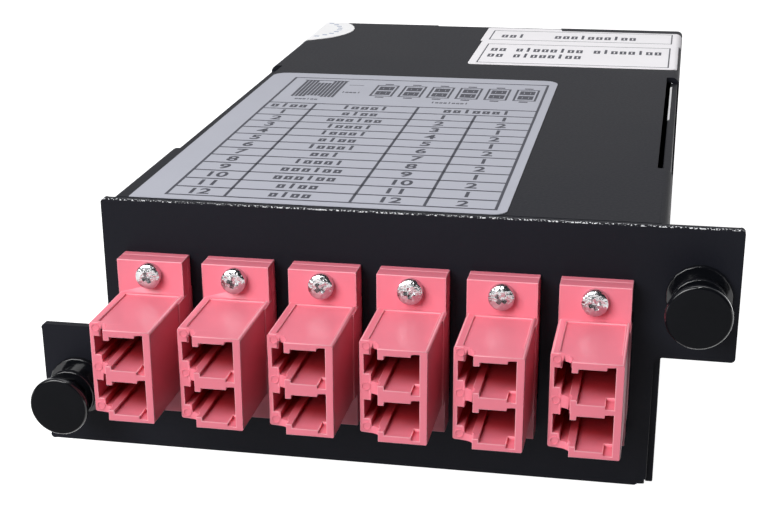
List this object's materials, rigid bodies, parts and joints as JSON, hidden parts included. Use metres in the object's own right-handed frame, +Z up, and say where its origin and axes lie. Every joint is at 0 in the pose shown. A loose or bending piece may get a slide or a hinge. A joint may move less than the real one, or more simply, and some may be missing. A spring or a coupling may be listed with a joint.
{
  "type": "fibre cassette",
  "caption": "Sheet-steel fibre patch cassette: Z-shaped front panel with a row of duplex LC adapters and two push-pull latches, MPO adapter behind.",
  "frame": {"origin": "middle of the bounding box in X and Y, on the plane that the case stands on", "axes": "+Y from the front panel into the case, +Z up, +X to the right as seen from the front"},
  "size_m": [0.0962, 0.161, 0.0371],
  "materials": {
    "case_paint": "fine-textured matt black powder coat",
    "adapter_plastic": "moulded pink-magenta thermoplastic, satin",
    "latch_nylon": "black nylon, slightly glossy",
    "nickel": "bright nickel plate",
    "zinc_steel": "zinc-plated steel",
    "ceramic": "polished white ceramic",
    "plug_plastic": "moulded beige thermoplastic",
    "boot_rubber": "soft pale grey boot",
    "fibre_jacket": "buffer jacket, magenta",
    "black_plastic": "moulded black thermoplastic",
    "table_label_film": "silver-lilac label film, satin",
    "label_paper": "white label film, matt"
  },
  "bodies": {
    "cassette": {"adapter_nuts": "zinc_steel", "adapter_screws": "nickel", "base_shell": "case_paint", "case_screws": "nickel", "cover_shell": "case_paint", "fanout_block": "black_plastic", "fanout_clip": "zinc_steel", "fibre_legs_1": "fibre_jacket", "fibre_legs_2": "fibre_jacket", "fibre_legs_3": "fibre_jacket", "fibre_legs_4": "fibre_jacket", "fibre_legs_5": "fibre_jacket", "fibre_legs_6": "fibre_jacket", "fibre_ribbon": "fibre_jacket", "grommet_left": "latch_nylon", "grommet_right": "latch_nylon", "lc_adapter_front_1": "adapter_plastic", "lc_adapter_front_2": "adapter_plastic", "lc_adapter_front_3": "adapter_plastic", "lc_adapter_front_4": "adapter_plastic", "lc_adapter_front_5": "adapter_plastic", "lc_adapter_front_6": "adapter_plastic", "lc_adapter_rear_1": "adapter_plastic", "lc_adapter_rear_2": "adapter_plastic", "lc_adapter_rear_3": "adapter_plastic", "lc_adapter_rear_4": "adapter_plastic", "lc_adapter_rear_5": "adapter_plastic", "lc_adapter_rear_6": "adapter_plastic", "lc_boots_1": "boot_rubber", "lc_boots_2": "boot_rubber", "lc_boots_3": "boot_rubber", "lc_boots_4": "boot_rubber", "lc_boots_5": "boot_rubber", "lc_boots_6": "boot_rubber", "lc_ferrules": "ceramic", "lc_plugs_1": "plug_plastic", "lc_plugs_2": "plug_plastic", "lc_plugs_3": "plug_plastic", "lc_plugs_4": "plug_plastic", "lc_plugs_5": "plug_plastic", "lc_plugs_6": "plug_plastic", "mpo_adapter": "black_plastic", "mpo_boot": "boot_rubber", "mpo_nuts": "zinc_steel", "mpo_plug": "black_plastic", "mpo_screws": "nickel", "note_label": "label_paper", "rear_label": "label_paper", "round_seal": "label_paper", "sleeve_pair_1": "ceramic", "sleeve_pair_2": "ceramic", "sleeve_pair_3": "ceramic", "sleeve_pair_4": "ceramic", "sleeve_pair_5": "ceramic", "sleeve_pair_6": "ceramic", "table_label": "table_label_film"},
    "plunger_left": {"plunger_left": "latch_nylon"},
    "plunger_right": {"plunger_right": "latch_nylon"}
  },
  "joints": [
    {"name": "latch_push_left", "type": "slide", "parent": "cassette", "child": "plunger_left", "axis": [0, 1, 0], "range_m": [0, 0.0028]},
    {"name": "latch_push_right", "type": "slide", "parent": "cassette", "child": "plunger_right", "axis": [0, 1, 0], "range_m": [0, 0.0028]}
  ]
}
